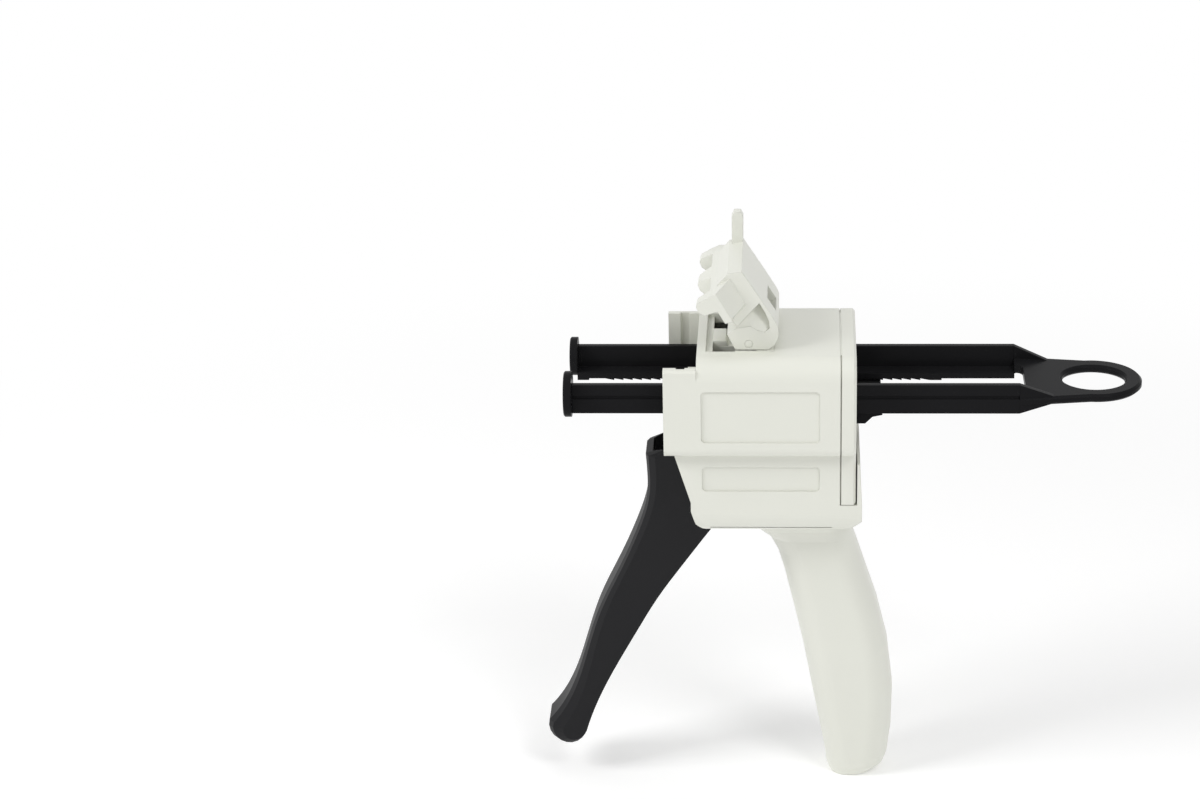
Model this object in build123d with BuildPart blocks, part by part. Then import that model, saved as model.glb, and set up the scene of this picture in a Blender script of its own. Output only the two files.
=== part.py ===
from build123d import *
import os
from math import cos, pi, radians, sin

# Two-barrel dispensing gun, in millimetres.
# Origin: where the drive axis meets the face that the cartridge flange seats on.
# +X runs back towards the hand, +Z up. The side with the larger plunger disc is -Y.

os.makedirs("parts", exist_ok=True)

# Housing, along X
plate_front = -8.2
plate_thickness = 4.9
slot_gap = 3.3
deck_front = 4.3
bulkhead = 2.5
body_back = 58.5
seam_gap = 0.45
seam_depth = 1.2
seam_top = 0.6
cover_thickness = 5.55
cover_edge = 0.9
wall = 2.5

# Housing, across Y
body_half = 32.5
slot_half = 30.0
bay_half = 28.8
lower_half = 27.0
pillar_half = 8.0

# Housing, heights
deck_z = 17.5
arm_z = 14.2
deck_thickness = 4.0
bay_floor = -11.0
slot_floor = -15.0
band_z = -21.5
floor_thickness = 2.5
pillar_top = 1.0
ledge_z = -43.0
base_z = -56.0
shoulder_radius = 8.0
band_radius = 4.0
base_radius = 9.0
bay_radius = 7.0

# Panels sunk in both sides of the housing
panel_depth = 0.6
panel_front = 6.1
panel_length = 44.6
panel_low = -14.9
panel_high = 5.7
lower_panel_low = -37.2
lower_panel_high = -27.3
panel_corner = 1.0
cavity_corner = 3.0

# Lip behind the rear cover
lip_front = 65.0
lip_thickness = 1.9
lip_top = -26.0

# Grip
grip_width = 25.0
grip_corner = 9.5
foot_z = -168.6
foot_height = 11.0
foot_rise = 8.0

# Pusher
disc_spacing = 39.4
large_disc_radius = 8.75
small_disc_radius = 7.5
disc_thickness = 3.0
disc_back = -43.3
web_outer = 21.65
web_thickness = 2.5
web_top = 4.25
web_bottom = -7.2
flange_inner = 12.3
flange_top = -4.25
flange_bottom = -6.5
groove_top = 0.0
groove_width = 1.4
groove_depth = 0.6
tooth_pitch = 3.6
tooth_first = -29.0
tooth_count = 34
bump_gap = 4.6
stop_length = 4.5
rack_back = 126.0
slot_depth = 3.0
ring_reach = 29.3
ring_radius = 18.3
ring_hole_radius = 12.0
ring_top = -1.0
ring_thickness = 3.2
ring_edge = 0.9
taper_length = 15.0
rack_clearance = 0.4

# Flats round each pin, bore and boss
flats = 24

# Trigger and its mechanism
trigger_x = 17.0
trigger_z = -31.0
trigger_half = 11.0
trigger_wall = 2.6
trigger_bevel_side = 4.6
trigger_bevel_break = 1.8
trigger_hub = 7.5
trigger_pin_radius = 2.5
arm_reach = 16.4
arm_lean = 11.0
arm_half = 3.0
arm_spread = 7.0
pawl_pin_radius = 1.5
pawl_half = 18.0
pawl_lead = 6.0
pawl_clearance = 0.9
running = 0.05
side_play = 0.4

# Release lever
release_x = 36.0
release_z = -14.5
release_half = 18.5
release_pin_radius = 1.5
tab_front = 65.0
tab_length = 9.5
arm_low = -12.6

# Latch
latch_x = 24.0
latch_z = 20.0
latch_half = 19.0
latch_pocket = 8.0
comb_half = 27.4
comb_gusset = 6.0
claw_width = 5.0
claw_root = 13.0
latch_pin_radius = 1.5
lug_half = 6.5
lug_radius = 5.6
recess_front = 7.7
recess_depth = 1.5
recess_half = 20.3
window_front = 10.2
window_inner = 6.7
bar_pocket = 3.1
bar_depth = 3.0
latch_well_back = 33.5

mouth_half = 12.0
mouth_back = 25.0
mouth_top = -24.2
trigger_pin_length = 46.0
release_pin_length = 57.0
post_front = 42.0
spring_z = -45.0
cover_play = 0.25
rim_depth = 3.0
rim_thickness = 1.8
release_spring_x = 51.6
shelf_z = -25.5
tab_well_low = -17.5
tangent_angle = 97.0
slot_corner = 2.8
spring_front = 10.5
spring_radius = 4.0
spring_wire = 0.6
turn_steps = 12
wire_sides = 4
taper_half = 18.0

seat_x = 0.0
bump_back = tooth_first + tooth_count * tooth_pitch + bump_gap
slot_end = rack_back + slot_depth
ring_centre = rack_back + ring_reach
taper_end = rack_back + taper_length
tab_back = tab_front + tab_length
slot_front = plate_front + plate_thickness
disc_y = disc_spacing / 2
web_inner = web_outer - web_thickness
cover_front = body_back + seam_gap
bulkhead_back = deck_front + bulkhead
cavity_half = body_half - wall
cavity_top = deck_z - deck_thickness
lower_cavity_half = lower_half - wall
skirt_bottom = ledge_z + cover_play
lug_swing = (lug_radius ** 2 + (latch_z - deck_z + bar_pocket) ** 2) ** 0.5 + side_play
skirt_top = band_z + band_radius


# Lower casing with its lip, as the side outline rounded along its bottom edges
with BuildPart() as lower_casing:
    with BuildSketch(Plane.XZ):
        with BuildLine():
            Polyline(
                (-5.2, band_z + 1.5),
                (1.6, ledge_z + 1.0),
                (1.6, ledge_z - 2.7),
                (3.4, base_z + 4.4),
                (6.2, base_z + 1.4),
                (10.5, base_z),
                (body_back + 2.0, base_z),
                (lip_front + lip_thickness, base_z + 6.0),
                (lip_front + lip_thickness, ledge_z),
                (lip_front + lip_thickness - 0.8, lip_top),
                (lip_front, lip_top),
                (lip_front, ledge_z),
                (body_back, ledge_z),
                (body_back, band_z + 1.5),
                close=True,
            )
        make_face()
    extrude(amount=lower_half, both=True)
    with BuildSketch(Plane.YZ.offset(plate_front)) as lower_section:
        with Locations((0, base_z / 2)):
            Rectangle(2 * lower_half, -base_z)
        fillet(lower_section.vertices().group_by(Axis.Y)[0], base_radius)
    extrude(amount=lip_front + lip_thickness - plate_front + 1, mode=Mode.INTERSECT)


# Grip, as a loft through level sections: height, front, back and width of each
grip_sections = [
    (base_z + 3.0, 15.0, 60.0, grip_width + 8.0),
    (-60.6, 25.8, 62.4, grip_width + 2.0),
    (-65.2, 31.4, 63.8, grip_width),
    (-71.2, 34.6, 65.8, grip_width),
    (-79.0, 37.0, 68.3, grip_width + 0.6),
    (-95.0, 40.8, 73.5, grip_width + 1.2),
    (-112.0, 44.6, 77.6, grip_width + 1.2),
    (-131.0, 48.0, 79.8, grip_width + 1.0),
    (-148.0, 51.2, 79.4, grip_width + 0.4),
    (foot_z + foot_rise, 53.4, 77.9, grip_width - 0.6),
]
foot_top, foot_front, foot_back, foot_width = grip_sections[-1]
for turn in (30, 60, 84):
    inward = 1 - cos(radians(turn))
    grip_sections.append((
        foot_top - foot_rise * sin(radians(turn)),
        foot_front + 0.35 * foot_rise * inward,
        foot_back - foot_height * inward,
        foot_width - 0.7 * foot_rise * inward,
    ))


with BuildPart() as grip:
    for height, front, back, width in grip_sections:
        with BuildSketch(Plane.XY.offset(height)):
            with Locations(((front + back) / 2, 0)):
                RectangleRounded(back - front, width, min(grip_corner, 0.45 * (back - front)))
    loft(ruled=True)


# Housing: casing, cartridge bay, deck and grip in one moulding
with BuildPart() as housing:
    with BuildSketch(Plane.YZ.offset(deck_front)) as upper_section:
        with Locations((0, (deck_z + band_z) / 2)):
            Rectangle(2 * body_half, deck_z - band_z)
        fillet(upper_section.vertices().group_by(Axis.Y)[-1], shoulder_radius)
        fillet(upper_section.vertices().group_by(Axis.Y)[0], band_radius)
    extrude(amount=body_back - deck_front)
    with BuildSketch(Plane.YZ.offset(plate_front)) as bay_section:
        with Locations((0, (arm_z + band_z) / 2)):
            Rectangle(2 * body_half, arm_z - band_z)
        chamfer(bay_section.vertices().group_by(Axis.Y)[-1], 1.0)
        fillet(bay_section.vertices().group_by(Axis.Y)[0], band_radius)
    extrude(amount=deck_front - plate_front)
    add(lower_casing.part)
    add(grip.part)
    # Cartridge bay between the two arms
    with BuildSketch(Plane.YZ.offset(plate_front)) as bay_opening:
        with Locations((0, (bay_floor + deck_z) / 2)):
            Rectangle(2 * bay_half, deck_z - bay_floor)
        fillet(bay_opening.vertices().group_by(Axis.Y)[0], bay_radius)
    extrude(amount=deck_front - plate_front, mode=Mode.SUBTRACT)
    # Slot that takes the cartridge flange
    with BuildSketch(Plane.YZ.offset(slot_front)) as slot_opening:
        with Locations((0, (slot_floor + deck_z) / 2)):
            Rectangle(2 * slot_half, deck_z - slot_floor)
        fillet(slot_opening.vertices().group_by(Axis.Y)[0], bay_radius)
    extrude(amount=slot_gap, mode=Mode.SUBTRACT)
    # Pillar between the plungers, the middle of the seat
    with BuildSketch(Plane.YZ.offset(seat_x)) as pillar_section:
        with Locations((0, (pillar_top + slot_floor) / 2)):
            Rectangle(2 * pillar_half, pillar_top - slot_floor)
        fillet(pillar_section.vertices().group_by(Axis.Y)[-1], 3.0)
    extrude(amount=deck_front - seat_x)
    # Cavity behind the bulkhead, open at the back
    with BuildSketch(Plane.YZ.offset(bulkhead_back)) as upper_cavity:
        with Locations((0, (cavity_top + band_z + floor_thickness) / 2)):
            Rectangle(2 * cavity_half, cavity_top - band_z - floor_thickness)
        chamfer(upper_cavity.vertices(), cavity_corner)
    extrude(amount=body_back - bulkhead_back, mode=Mode.SUBTRACT)
    with BuildSketch(Plane.XZ):
        with BuildLine():
            Polyline(
                (bulkhead_back, band_z + 5.0),
                (bulkhead_back, band_z - 2.0),
                (1.4, band_z - 4.0),
                (4.6, ledge_z - 2.0),
                (9.0, base_z + wall),
                (body_back - 3.0, base_z + wall),
                (body_back - 3.0, ledge_z + wall),
                (body_back, ledge_z + wall),
                (body_back, band_z + 5.0),
                close=True,
            )
        make_face()
    extrude(amount=lower_cavity_half, both=True, mode=Mode.SUBTRACT)
    # Mouth for the trigger, through the front and the bottom
    with BuildSketch(Plane.XZ):
        with Locations(((plate_front + mouth_back) / 2, (mouth_top + base_z - 5) / 2)):
            Rectangle(mouth_back - plate_front, mouth_top - base_z + 5)
    extrude(amount=mouth_half, both=True, mode=Mode.SUBTRACT)
    # Passages for the two racks through the bulkhead
    with BuildSketch(Plane.YZ.offset(deck_front - 1)):
        for side in (-1, 1):
            with Locations((side * (web_outer + web_inner) / 2, (web_top + web_bottom) / 2)):
                Rectangle(web_thickness + 2 * rack_clearance, web_top - web_bottom + 2 * rack_clearance)
            with Locations((side * (web_outer + flange_inner) / 2, (flange_top + web_bottom) / 2)):
                Rectangle(
                    web_outer - flange_inner + 2 * rack_clearance,
                    flange_top - web_bottom + 2 * rack_clearance,
                )
    extrude(amount=bulkhead + 2, mode=Mode.SUBTRACT)
    # Shallow recess in the deck, the windows over the racks and the well for the latch
    with BuildSketch(Plane.XY.offset(deck_z)):
        with Locations(((recess_front + latch_well_back) / 2, 0)):
            Rectangle(latch_well_back - recess_front, 2 * recess_half)
    extrude(amount=-recess_depth, mode=Mode.SUBTRACT)
    with BuildSketch(Plane.XY.offset(deck_z)):
        for side in (-1, 1):
            with Locations(((window_front + latch_well_back) / 2, side * (window_inner + recess_half) / 2)):
                Rectangle(latch_well_back - window_front, recess_half - window_inner)
    extrude(amount=-deck_thickness, mode=Mode.SUBTRACT)
    # Bar between the windows: deeper below, and lowered where the latch swings over it
    with BuildSketch(Plane.XY.offset(cavity_top)):
        with Locations(((bulkhead_back + latch_well_back + 4) / 2, 0)):
            Rectangle(latch_well_back + 4 - bulkhead_back, 2 * window_inner)
    extrude(amount=-bar_depth)
    with BuildSketch(Plane.XY.offset(deck_z)):
        with Locations(((window_front + latch_well_back) / 2, 0)):
            Rectangle(latch_well_back - window_front, 2 * window_inner)
    extrude(amount=-bar_pocket, mode=Mode.SUBTRACT)
    # Lug that carries the latch on its pin
    with BuildSketch(Plane.XZ):
        with Locations((latch_x, latch_z)):
            RegularPolygon(lug_radius, flats)
        with Locations((latch_x, (latch_z + cavity_top) / 2)):
            Rectangle(2 * lug_radius, latch_z - cavity_top)
        with Locations((latch_x, latch_z)):
            RegularPolygon(latch_pin_radius, flats, mode=Mode.SUBTRACT)
    extrude(amount=lug_half, both=True)
    # Panels on both sides
    for side in (1, -1):
        with BuildSketch(Plane.XZ.offset(side * body_half)) as upper_panel:
            with Locations((panel_front + panel_length / 2, (panel_low + panel_high) / 2)):
                Rectangle(panel_length, panel_high - panel_low)
            chamfer(upper_panel.vertices(), panel_corner)
        extrude(amount=-side * panel_depth, mode=Mode.SUBTRACT)
        with BuildSketch(Plane.XZ.offset(side * lower_half)) as lower_panel:
            with Locations((panel_front + panel_length / 2, (lower_panel_low + lower_panel_high) / 2)):
                Rectangle(panel_length, lower_panel_high - lower_panel_low)
            chamfer(lower_panel.vertices(), panel_corner)
        extrude(amount=-side * panel_depth, mode=Mode.SUBTRACT)
    # Bosses for the trigger pin and the release pin
    for side in (1, -1):
        with BuildSketch(Plane.XZ.offset(side * (lower_cavity_half + 0.5))):
            with Locations((trigger_x, trigger_z)):
                RegularPolygon(trigger_pin_radius + 3.0, flats)
        extrude(amount=-side * (lower_cavity_half + 0.5 - trigger_half - side_play))
        with BuildSketch(Plane.XZ.offset(side * (cavity_half + 0.5))):
            with Locations((release_x, release_z)):
                RegularPolygon(release_pin_radius + 2.4, flats)
        extrude(amount=-side * (cavity_half + 0.5 - release_half - side_play))
    with BuildSketch(Plane.XZ):
        with Locations((trigger_x, trigger_z)):
            RegularPolygon(trigger_pin_radius, flats)
    extrude(amount=trigger_pin_length / 2, both=True, mode=Mode.SUBTRACT)
    with BuildSketch(Plane.XZ):
        with Locations((release_x, release_z)):
            RegularPolygon(release_pin_radius, flats)
    extrude(amount=release_pin_length / 2, both=True, mode=Mode.SUBTRACT)
    # Post on the floor of the casing for the trigger spring
    with BuildSketch(Plane.XZ):
        with BuildLine():
            Polyline(
                (post_front, spring_z + 4.0),
                (post_front, base_z + wall / 2),
                (post_front + 9.0, base_z + wall / 2),
                (post_front + 2.5, spring_z + 4.0),
                close=True,
            )
        make_face()
    extrude(amount=5.0, both=True)

housing.part.label = "housing"
export_step(housing.part, "parts/housing.step")


# Rear cover: outer plate, stepped in at the seam, with a rim that enters the cavity
with BuildPart() as rear_cover:
    with BuildSketch(Plane.YZ.offset(cover_front)) as cover_outline:
        with Locations((0, (deck_z + band_z) / 2)):
            Rectangle(2 * body_half, deck_z - band_z)
        fillet(cover_outline.vertices().group_by(Axis.Y)[-1], shoulder_radius)
        fillet(cover_outline.vertices().group_by(Axis.Y)[0], band_radius)
        with Locations((0, (skirt_top + skirt_bottom) / 2)):
            Rectangle(2 * lower_half, skirt_top - skirt_bottom)
    extrude(amount=cover_thickness)
    chamfer(rear_cover.faces().sort_by(Axis.X)[-1].outer_wire().edges(), cover_edge)
    with BuildSketch(Plane.YZ.offset(body_back)) as cover_step:
        with Locations((0, (deck_z - seam_top + band_z + seam_depth) / 2)):
            Rectangle(2 * (body_half - seam_depth), deck_z - seam_top - band_z - seam_depth)
        fillet(cover_step.vertices().group_by(Axis.Y)[-1], shoulder_radius - seam_depth)
        fillet(cover_step.vertices().group_by(Axis.Y)[0], band_radius - seam_depth)
        with Locations((0, (skirt_top + skirt_bottom) / 2)):
            Rectangle(2 * (lower_half - seam_depth), skirt_top - skirt_bottom)
    extrude(amount=seam_gap)
    # Rim inside the cavity
    with BuildSketch(Plane.YZ.offset(body_back - rim_depth)) as cover_rim:
        with Locations((0, (cavity_top + band_z + floor_thickness) / 2)):
            Rectangle(
                2 * (cavity_half - cover_play), cavity_top - band_z - floor_thickness - 2 * cover_play
            )
        chamfer(cover_rim.vertices(), cavity_corner)
        with Locations((0, (cavity_top + band_z + floor_thickness) / 2)):
            Rectangle(
                2 * (cavity_half - cover_play - rim_thickness),
                cavity_top - band_z - floor_thickness - 2 * (cover_play + rim_thickness),
                mode=Mode.SUBTRACT,
            )
    extrude(amount=rim_depth)
    # Shelf for the release spring
    with BuildSketch(Plane.XZ):
        with BuildLine():
            Polyline(
                (release_spring_x - 4.0, shelf_z),
                (body_back, shelf_z),
                (body_back, shelf_z - 8.0),
                (release_spring_x - 4.0, shelf_z - 2.4),
                close=True,
            )
        make_face()
    extrude(amount=5.0, both=True)
    # Passages for the racks and the release tab
    with BuildSketch(Plane.YZ.offset(body_back - rim_depth - 1)):
        for side in (-1, 1):
            with Locations((side * (web_outer + web_inner) / 2, (web_top + web_bottom) / 2)):
                Rectangle(web_thickness + 2 * rack_clearance, web_top - web_bottom + 2 * rack_clearance)
            with Locations((side * (web_outer + flange_inner) / 2, (flange_top + web_bottom) / 2)):
                Rectangle(
                    web_outer - flange_inner + 2 * rack_clearance,
                    flange_top - web_bottom + 2 * rack_clearance,
                )
        with Locations((0, (web_bottom + tab_well_low) / 2)):
            Rectangle(2 * (release_half + 2 * side_play), web_bottom - tab_well_low + 0.2)
    extrude(amount=cover_thickness + seam_gap + rim_depth + 2, mode=Mode.SUBTRACT)

rear_cover.part.label = "rear_cover"
export_step(rear_cover.part, "parts/rear_cover.step")


# Racks, one on each side, mirrored: an upright web with a toothed flange turned inwards
rack_front = disc_back
teeth = [
    (rack_back, flange_bottom),
    (bump_back, flange_bottom),
    (bump_back, web_bottom),
    (tooth_first + tooth_count * tooth_pitch, web_bottom),
    (tooth_first + (tooth_count - 1) * tooth_pitch, flange_bottom),
    (tooth_first + (tooth_count - 1) * tooth_pitch, web_bottom),
]
for index in range(1, tooth_count):
    steep_face = tooth_first + (tooth_count - 1 - index) * tooth_pitch
    teeth.append((steep_face, flange_bottom))
    teeth.append((steep_face, web_bottom))
teeth.append((tooth_first - tooth_pitch, flange_bottom))
stop_back = rack_front + stop_length
teeth.extend([(stop_back, flange_bottom), (stop_back, web_bottom), (rack_front, web_bottom)])

racks = {}
for side, rack_name in ((-1, "rack_large_side"), (1, "rack_small_side")):
    with BuildPart() as rack:
        with BuildSketch(Plane.YZ.offset(rack_front)):
            with Locations((side * (web_outer + web_inner) / 2, (web_top + web_bottom) / 2)):
                Rectangle(web_thickness, web_top - web_bottom)
            with Locations((side * (web_outer - groove_depth / 2), groove_top - groove_width / 2)):
                Rectangle(groove_depth, groove_width, mode=Mode.SUBTRACT)
        extrude(amount=rack_back - rack_front)
        with BuildSketch(Plane.XZ.offset(-side * flange_inner)):
            with BuildLine():
                Polyline((rack_front, flange_top), (rack_back, flange_top), *teeth, close=True)
            make_face()
        extrude(amount=-side * (web_inner - flange_inner))
    rack.part.label = rack_name
    export_step(rack.part, f"parts/{rack_name}.step")
    racks[rack_name] = rack


# Plunger discs on the front ends of the racks
discs = {}
for side, disc_name, disc_radius in (
    (-1, "plunger_disc_large", large_disc_radius),
    (1, "plunger_disc_small", small_disc_radius),
):
    with BuildPart() as disc:
        with BuildSketch(Plane.YZ.offset(disc_back)):
            with Locations((side * disc_y, 0)):
                Circle(disc_radius)
        extrude(amount=-disc_thickness)
        chamfer(disc.faces().sort_by(Axis.X)[0].edges(), 0.5)
    disc.part.label = disc_name
    export_step(disc.part, f"parts/{disc_name}.step")
    discs[disc_name] = disc


# Pull ring: flat plate with a finger hole, joined to both racks by tapering cheeks
tangent_x = ring_centre + ring_radius * cos(radians(tangent_angle))
tangent_y = ring_radius * sin(radians(tangent_angle))
with BuildPart() as pull_ring:
    with BuildSketch(Plane.XY.offset(ring_top - ring_thickness)):
        with BuildLine():
            Polyline(
                (tangent_x, -tangent_y),
                (slot_end, -web_outer),
                (rack_back, -web_outer),
                (rack_back, web_outer),
                (slot_end, web_outer),
                (tangent_x, tangent_y),
            )
            ThreePointArc((tangent_x, tangent_y), (ring_centre + ring_radius, 0), (tangent_x, -tangent_y))
        make_face()
        with Locations((ring_centre, 0)):
            Circle(ring_hole_radius, mode=Mode.SUBTRACT)
        with Locations((rack_back, 0)):
            RectangleRounded(2 * (slot_end - rack_back), 2 * flange_inner, slot_corner, mode=Mode.SUBTRACT)
    extrude(amount=ring_thickness)
    flat_edges = pull_ring.faces().filter_by(Axis.Z).edges()
    chamfer(flat_edges.filter_by_position(Axis.X, slot_end + 0.1, ring_centre + ring_radius + 1), ring_edge)
    for side in (-1, 1):
        with BuildSketch(Plane.YZ.offset(rack_back)):
            with Locations((side * (web_outer + web_inner) / 2, (web_top + web_bottom) / 2)):
                Rectangle(web_thickness, web_top - web_bottom)
        with BuildSketch(Plane.YZ.offset(taper_end)):
            with Locations((side * taper_half, ring_top - ring_thickness / 2)):
                Rectangle(web_thickness, ring_thickness - 2 * ring_edge)
        loft()

pull_ring.part.label = "pull_ring"
export_step(pull_ring.part, "parts/pull_ring.step")


# Trigger: a channel open at the back and on top, with a hub and an arm for the pawl
hub_bore = trigger_pin_radius + running
pawl_x = trigger_x + arm_reach * sin(radians(arm_lean))
pawl_z = trigger_z + arm_reach * cos(radians(arm_lean))
# Side outlines in X and Z: the middle of the front face, then the edge of its bevel
trigger_front = [
    (-16.3, -30.3), (-15.9, -36.3), (-16.1, -47.7), (-19.6, -60.2), (-27.6, -79.0),
    (-35.6, -96.0), (-41.9, -115.3), (-46.1, -128.2), (-52.2, -140.2), (-56.8, -146.0),
]
trigger_tip = [
    (-56.8, -146.0), (-57.0, -149.4), (-55.5, -152.9), (-51.7, -155.6), (-47.0, -155.6),
    (-43.4, -153.0), (-41.7, -148.9),
]
bevel_front = [
    (-12.6, -30.0), (-12.2, -36.3), (-12.8, -47.0), (-16.6, -60.2), (-24.8, -79.0),
    (-32.4, -96.0), (-38.2, -115.3), (-41.8, -128.2), (-46.6, -140.2), (-50.6, -146.6),
]
bevel_tip = [
    (-50.6, -146.6), (-51.1, -149.0), (-50.1, -151.4), (-48.2, -152.8), (-46.0, -152.9),
    (-43.5, -151.4), (-41.7, -148.9),
]
trigger_rear = [
    (-41.7, -148.9), (-37.5, -136.9), (-31.4, -123.8), (-21.4, -105.5), (-11.5, -88.5),
    (-1.8, -74.7), (4.6, -65.8), (14.0, -53.0), (22.4, -39.0),
]
hub_low = (trigger_x + trigger_hub * cos(radians(-30)), trigger_z + trigger_hub * sin(radians(-30)))
hub_rear = (trigger_x + trigger_hub * cos(radians(30)), trigger_z + trigger_hub * sin(radians(30)))
hub_top = (trigger_x, trigger_z + trigger_hub)


# Between the two outlines, where the bevel breaks
break_front = [
    (0.7 * x + 0.3 * bevel_x, 0.7 * z + 0.3 * bevel_z)
    for (x, z), (bevel_x, bevel_z) in zip(trigger_front, bevel_front)
]
break_tip = [
    (0.7 * x + 0.3 * bevel_x, 0.7 * z + 0.3 * bevel_z)
    for (x, z), (bevel_x, bevel_z) in zip(trigger_tip, bevel_tip)
]
tip_steps = 10


def at_side(points, y):
    return [(x, y, z) for x, z in points]


def trigger_wire(front, tip, y):
    rim_front = (front[0][0] + 6.0, -27.7)
    rounded = Edge.make_spline(at_side(tip, y))
    tip_points = [rounded.position_at(step / tip_steps) for step in range(tip_steps + 1)]
    return Wire([
        Edge.make_line(*at_side([rim_front, front[0]], y)),
        Edge.make_spline(at_side(front, y)),
        *[Edge.make_line(*pair) for pair in zip(tip_points, tip_points[1:])],
        Edge.make_spline(at_side(trigger_rear, y)),
        Edge.make_line(*at_side([trigger_rear[-1], hub_low], y)),
        Edge.make_line(*at_side([hub_low, hub_rear], y)),
        Edge.make_line(*at_side([hub_rear, hub_top], y)),
        Edge.make_line(*at_side([hub_top, rim_front], y)),
    ])


def hollow_wire(front, y):
    inner = [(x + trigger_wall + 0.2, z) for x, z in front[:-1]]
    above = (inner[0][0], trigger_z + 20)
    outside = [(-30.0, -143.0), (trigger_x + 20, -70.0), (trigger_x + 20, trigger_z + 20)]
    return Wire([
        Edge.make_line(*at_side([above, inner[0]], y)),
        Edge.make_spline(at_side(inner, y)),
        Edge.make_line(*at_side([inner[-1], outside[0]], y)),
        Edge.make_line(*at_side([outside[0], outside[1]], y)),
        Edge.make_line(*at_side([outside[1], outside[2]], y)),
        Edge.make_line(*at_side([outside[2], above], y)),
    ])


bevel_inner = trigger_half - trigger_bevel_side
break_y = trigger_half - trigger_bevel_break
trigger_shape = Solid.make_loft(
    [
        trigger_wire(bevel_front, bevel_tip, -trigger_half),
        trigger_wire(break_front, break_tip, -break_y),
        trigger_wire(trigger_front, trigger_tip, -bevel_inner),
        trigger_wire(trigger_front, trigger_tip, bevel_inner),
        trigger_wire(break_front, break_tip, break_y),
        trigger_wire(bevel_front, bevel_tip, trigger_half),
    ],
    ruled=True,
)
trigger_hollow = Solid.make_loft(
    [
        hollow_wire(bevel_front, trigger_wall - trigger_half),
        hollow_wire(trigger_front, -bevel_inner),
        hollow_wire(trigger_front, bevel_inner),
        hollow_wire(bevel_front, trigger_half - trigger_wall),
    ],
    ruled=True,
)

with BuildPart() as trigger:
    add(trigger_shape)
    add(trigger_hollow, mode=Mode.SUBTRACT)
    # Hub across the channel
    with BuildSketch(Plane.XZ):
        with Locations((trigger_x, trigger_z)):
            RegularPolygon(trigger_pin_radius + trigger_wall, flats)
    extrude(amount=trigger_half, both=True)
    # Arm that carries the pawl
    with BuildSketch(Plane.XZ):
        with Locations((trigger_x, trigger_z)):
            RegularPolygon(arm_spread / 2 + 1.6, flats)
        with Locations((pawl_x, pawl_z)):
            RegularPolygon(pawl_pin_radius + 1.6, flats)
        make_hull()
    extrude(amount=arm_half, both=True)
    # Cross wall that the return spring bears on
    with BuildSketch(Plane.XZ):
        with Locations(((spring_front - trigger_wall / 2), spring_z)):
            Rectangle(trigger_wall, 2 * spring_radius + 6.0)
    extrude(amount=trigger_half - trigger_wall / 2, both=True)
    with BuildSketch(Plane.XZ):
        with Locations((trigger_x, trigger_z)):
            RegularPolygon(hub_bore, flats)
        with Locations((pawl_x, pawl_z)):
            RegularPolygon(pawl_pin_radius, flats)
    extrude(amount=trigger_half + 1, both=True, mode=Mode.SUBTRACT)

trigger.part.label = "trigger"
export_step(trigger.part, "parts/trigger.step")


# Drive pawl: a wide plate on the arm's pin, with its edge just under the teeth
with BuildPart() as drive_pawl:
    with BuildSketch(Plane.XZ):
        with BuildLine():
            Polyline(
                (pawl_x - pawl_lead, web_bottom - pawl_clearance),
                (pawl_x - 3.0, web_bottom - 2.5),
                (pawl_x + 2.6, pawl_z + 1.6),
                (pawl_x + 1.0, pawl_z - 3.0),
                (pawl_x - 3.0, pawl_z - 1.0),
                (pawl_x - pawl_lead, pawl_z + 3.3),
                close=True,
            )
        make_face()
        with Locations((pawl_x, pawl_z)):
            RegularPolygon(pawl_pin_radius + 1.7, flats)
        with Locations((pawl_x, pawl_z)):
            RegularPolygon(pawl_pin_radius + running, flats, mode=Mode.SUBTRACT)
    extrude(amount=pawl_half, both=True)
    with BuildSketch(Plane.XZ):
        with Locations((pawl_x, pawl_z)):
            RegularPolygon(pawl_pin_radius + 2.4, flats)
    extrude(amount=arm_half + side_play, both=True, mode=Mode.SUBTRACT)

drive_pawl.part.label = "drive_pawl"
export_step(drive_pawl.part, "parts/drive_pawl.step")


# Release lever: a wide plate under the racks with a holding tooth and a tab at the back
plate_top = web_bottom - 2.2
tab_top = web_bottom - 0.7
with BuildPart() as release_lever:
    with BuildSketch(Plane.XZ):
        with BuildLine():
            Polyline(
                (release_x, release_z + 3.4),
                (46.6, -11.4),
                (48.6, web_bottom - pawl_clearance),
                (51.6, plate_top),
                (tab_front - 1.0, plate_top),
                (tab_front + 1.0, tab_top),
                (tab_back, tab_top),
                (tab_back, tab_top - 1.2),
                (tab_back - 3.8, tab_top - 2.0),
                (tab_back - 6.5, arm_low),
                (47.5, arm_low),
                (44.5, -15.0),
                (release_x, release_z - 3.4),
                close=True,
            )
        make_face()
        with Locations((release_x, release_z)):
            RegularPolygon(3.4, flats)
        with Locations((release_x, release_z)):
            RegularPolygon(release_pin_radius + running, flats, mode=Mode.SUBTRACT)
    extrude(amount=release_half, both=True)

release_lever.part.label = "release_lever"
export_step(release_lever.part, "parts/release_lever.step")


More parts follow.
